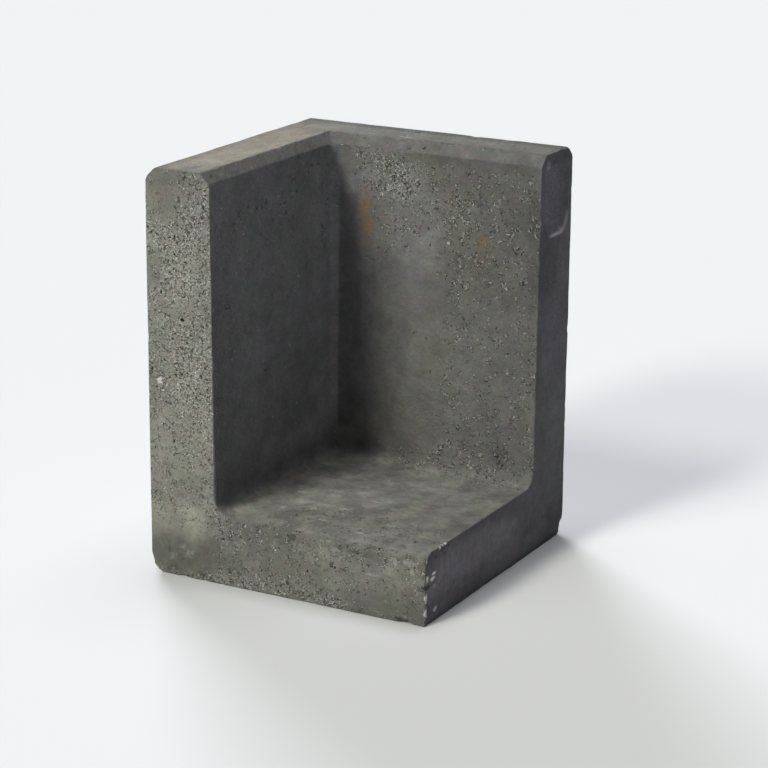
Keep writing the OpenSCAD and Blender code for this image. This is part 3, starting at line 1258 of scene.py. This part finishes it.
@dataclass(frozen=True)
class Concrete:
    """Grey concrete with its sand, trowel marks, blowholes and stains.

    It reads the masks that the casting stores on its mesh.
    """

    casting: Casting
    stains: dict[Side, tuple[Stain, ...]]
    name: str = "concrete"
    violet: tuple[float, float, float] = (0.182, 0.174, 0.196)
    slate: tuple[float, float, float] = (0.180, 0.179, 0.183)
    olive: tuple[float, float, float] = (0.194, 0.193, 0.166)
    tan: tuple[float, float, float] = (0.222, 0.200, 0.158)
    rosy: tuple[float, float, float] = (1.032, 0.978, 0.998)
    mossy: tuple[float, float, float] = (0.970, 1.021, 1.002)
    broken: tuple[float, float, float] = (0.40, 0.39, 0.36)
    pale_grain: tuple[float, float, float] = (0.83, 0.83, 0.78)
    # The near-black hole colour is painted shade in sand holes, blowholes and pocks.
    hole_shade: tuple[float, float, float] = (0.013, 0.013, 0.012)

    def cement(self, surface: Surface) -> Socket:
        """Colour of the cement by its warmth, from violet through slate and olive to tan.

        Args:
            surface: the material's tree.

        Returns:
            The colour.
        """
        warm = surface.maths("ADD", surface.masks["warmth"], surface.swing(surface.tint, 0.17, 0.0))
        warm = surface.maths("ADD", warm, surface.swing(surface.cloud(0.013, 0.38, 0.62), 0.15, 0.0))
        colour = surface.blend(surface.fade(warm, 0.0, -1.0), self.slate, self.violet)
        colour = surface.blend(surface.fade(warm, 0.0, 1.0), colour, self.olive)
        return surface.blend(surface.fade(warm, 1.0, 2.0), colour, self.tan)

    def brightness(self, surface: Surface) -> Socket:
        """Brightness of the cement: its tone, blotches, fine grain and trowel marks.

        Args:
            surface: the material's tree.

        Returns:
            The brightness, where 1 is plain cement.
        """
        broad = surface.swing(surface.cloud(0.028, 0.3, 0.7), 0.10)
        close = surface.swing(surface.cloud(0.009, 0.3, 0.7), 0.09)
        layers = surface.vector("MULTIPLY", surface.place, (1.0, 1.0, 1.7))
        fine = surface.swing(surface.cloud(0.0042, 0.25, 0.75, 0.75, layers), 0.11, 0.0)
        fine = surface.line(fine, surface.calm, 1.0)
        return surface.times(
            surface.masks["tone"], broad, close, fine, surface.line(surface.dragged, 0.30, 1.0)
        )

    def grit(self, surface: Surface) -> tuple[Socket, Socket, Socket]:
        """The sand and the air holes that the cement leaves bare.

        Args:
            surface: the material's tree.

        Returns:
            The share of pale grain, the share of holes darkened with painted shade, and the height.
        """
        sand = surface.masks["sand"]
        covered = surface.line(sand, -0.30, 0.62)
        bare = surface.cloud(0.0062, covered, surface.maths("ADD", covered, 0.12), 0.70)
        bare = surface.times(bare, surface.line(sand, 0.15, 0.85))
        grades = [grade.lay(surface) for grade in SAND]
        pale = surface.fold("MAXIMUM", [grade.outputs["Pale"] for grade in grades])
        dark = surface.fold("MAXIMUM", [grade.outputs["Dark"] for grade in grades])
        proud = surface.fold("ADD", [grade.outputs["Height"] for grade in grades])
        hole, pock = (grade.lay(surface).outputs["Dark"] for grade in (BLOWHOLES, POCKS))
        crowded = surface.line(surface.cloud(0.016, 0.42, 0.58), 0.60, 0.10)
        pock = surface.times(pock, surface.masks["pits"], crowded)
        sunk = surface.fold("MAXIMUM", (surface.times(dark, bare), hole, pock))
        height = surface.maths("SUBTRACT", surface.times(proud, bare), surface.times(hole, 3.0))
        return surface.times(pale, bare), sunk, height

    def stained(self, surface: Surface, colour: Socket) -> Socket:
        """Lay the stains over a colour, one after the other.

        Args:
            surface: the material's tree.
            colour: the colour below them.

        Returns:
            The stained colour.
        """
        for side, stain in ((side, stain) for side, row in self.stains.items() for stain in row):
            middle = self.casting.place_on(side, stain.at, stain.sunk)
            reach = self.casting.on_side(side, stain.reach, stain.deep)
            plugs = {"Place": middle, "Reach": reach, "Ragged": stain.ragged, "Full": stain.full}
            spot = Spot().place(surface, Vector=surface.place, **plugs).outputs[0]
            colour = surface.blend(surface.times(spot, stain.strength), colour, stain.colour)
        return colour

    def material(self) -> bpy.types.Material:
        """Build the material.

        Returns:
            The material.
        """
        material = bpy.data.materials.new(self.name)
        material.use_nodes = True
        surface = Surface(material.node_tree)
        level, (grain, sunk, grit) = self.brightness(surface), self.grit(surface)
        grey = surface.node("ShaderNodeCombineColor", {0: level, 1: level, 2: level}).outputs[0]
        hue = surface.blend(surface.cloud(0.013, 0.38, 0.62), self.rosy, self.mossy)
        colour = surface.blend(1.0, self.cement(surface), grey, "MULTIPLY")
        colour = surface.blend(1.0, colour, hue, "MULTIPLY")
        crumbs = surface.times(surface.masks["worn"], surface.cloud(0.004, 0.35, 0.60, 0.6), 0.6)
        colour = surface.blend(crumbs, colour, self.broken)
        colour = surface.blend(grain, colour, self.pale_grain)
        # Holes darkened with painted shade.
        colour = surface.blend(sunk, colour, self.hole_shade)
        colour = self.stained(surface, colour)

        skin = surface.times(surface.cloud(0.004, 0.2, 0.8, 0.7), surface.calm, 0.8)
        height = surface.fold("ADD", (grit, skin, surface.times(surface.dragged, 0.3)))
        plugs = {"Height": height, "Distance": 0.0013, "Strength": 1.0}
        bump = surface.node("ShaderNodeBump", plugs)
        shader = material.node_tree.nodes["Principled BSDF"]
        links = material.node_tree.links
        links.new(colour, shader.inputs["Base Color"])
        links.new(surface.line(surface.tint, 0.10, 0.84), shader.inputs["Roughness"])
        links.new(bump.outputs[0], shader.inputs["Normal"])
        shader.inputs["Specular IOR Level"].default_value = 0.25
        return material


@dataclass(frozen=True)
class Camera:
    """The camera, by where it stands and how it is turned."""

    place: tuple[float, float, float] = (1.16181, -2.09246, 0.88837)
    azimuth: float = 28.5417
    elevation: float = 16.6446
    roll: float = 0.4904
    lens: float = 119.86

    def build(self) -> bpy.types.Object:
        """Put the camera in the scene.

        Returns:
            The camera object.
        """
        azimuth, elevation, roll = map(math.radians, (self.azimuth, self.elevation, self.roll))
        back = Vector((
            math.sin(azimuth) * math.cos(elevation),
            -math.cos(azimuth) * math.cos(elevation),
            math.sin(elevation),
        ))
        right = Vector((math.cos(azimuth), math.sin(azimuth), 0.0))
        up = back.cross(right)
        turned_right = right * math.cos(roll) + up * math.sin(roll)
        turned_up = up * math.cos(roll) - right * math.sin(roll)
        data = bpy.data.cameras.new("camera")
        data.lens = self.lens
        data.sensor_width = 36.0
        data.clip_end = 50.0
        camera = bpy.data.objects.new("camera", data)
        axes = Matrix((turned_right, turned_up, back)).transposed().to_4x4()
        camera.matrix_world = Matrix.Translation(self.place) @ axes
        bpy.context.scene.collection.objects.link(camera)
        bpy.context.scene.camera = camera
        return camera


@dataclass(frozen=True)
class Lamp:
    """A large soft lamp far from the casting.

    The azimuth is where it stands: 0 in front of the casting, 90 on its right.
    """

    name: str
    azimuth: float
    elevation: float
    softness: float
    strength: float
    colour: tuple[float, float, float] = (1.0, 1.0, 1.0)

    def build(self) -> bpy.types.Object:
        """Hang the lamp.

        Returns:
            The lamp object.
        """
        azimuth, elevation = math.radians(self.azimuth), math.radians(self.elevation)
        away = Vector((
            math.sin(azimuth) * math.cos(elevation),
            -math.cos(azimuth) * math.cos(elevation),
            math.sin(elevation),
        ))
        data = bpy.data.lights.new(self.name, "SUN")
        data.energy = self.strength
        data.angle = math.radians(self.softness)
        data.color = self.colour
        lamp = bpy.data.objects.new(self.name, data)
        lamp.location = away * 3.0
        lamp.rotation_euler = away.to_track_quat("Z", "Y").to_euler()
        bpy.context.scene.collection.objects.link(lamp)
        return lamp


@dataclass
class Studio:
    """The pale floor and the lamps round the casting."""

    floor_colour: tuple[float, float, float] = (0.80, 0.81, 0.83)
    floor_reach: float = 12.0
    lamps: tuple[Lamp, ...] = (
        Lamp("key_lamp_low", -15.5, 29.0, 12.0, 1.19, (1.03, 1.03, 0.93)),
        Lamp("key_lamp_high", -24.0, 49.0, 16.0, 0.81, (1.03, 1.03, 0.93)),
        Lamp("rim_lamp", 225.0, 20.0, 24.0, 3.05, (0.96, 0.98, 1.06)),
        Lamp("top_lamp", 190.0, 80.0, 40.0, 1.19),
    )

    def build(self) -> bpy.types.Object:
        """Lay the floor and hang the lamps.

        Returns:
            The floor object.
        """
        reach = self.floor_reach
        corners = [(-reach, -reach, 0.0), (reach, -reach, 0.0), (reach, reach, 0.0), (-reach, reach, 0.0)]
        mesh = bpy.data.meshes.new("studio_floor")
        mesh.from_pydata(corners, [], [(0, 1, 2, 3)])
        paint = bpy.data.materials.new("studio_floor")
        paint.use_nodes = True
        shader = paint.node_tree.nodes["Principled BSDF"]
        shader.inputs["Base Color"].default_value = (*self.floor_colour, 1.0)
        shader.inputs["Roughness"].default_value = 1.0
        shader.inputs["Specular IOR Level"].default_value = 0.0
        mesh.materials.append(paint)
        floor = bpy.data.objects.new("studio_floor", mesh)
        bpy.context.scene.collection.objects.link(floor)
        for lamp in self.lamps:
            lamp.build()
        world = bpy.data.worlds.new("studio")
        world.use_nodes = True
        backdrop = world.node_tree.nodes["Background"]
        backdrop.inputs["Color"].default_value = (1.0, 1.0, 1.0, 1.0)
        backdrop.inputs["Strength"].default_value = 0.02
        bpy.context.scene.world = world
        bpy.context.scene.view_settings.view_transform = "Standard"
        return floor


def main() -> None:
    """Build the scene in order and report each piece."""
    logging.basicConfig(level=logging.INFO, format="%(name)s: %(message)s")
    low, high = (Vector(corner) for corner in CAD_BOX)
    casting = Casting(low, high, patches=PATCHES, chips=CHIPS + PITS)
    element = casting.build()
    element.data.materials.append(Concrete(casting, STAINS).material())
    camera = Camera().build()
    floor = Studio().build()
    for piece in (element, camera, floor):
        log.info("made %s", piece.name)


if __name__ == "__main__":
    main()
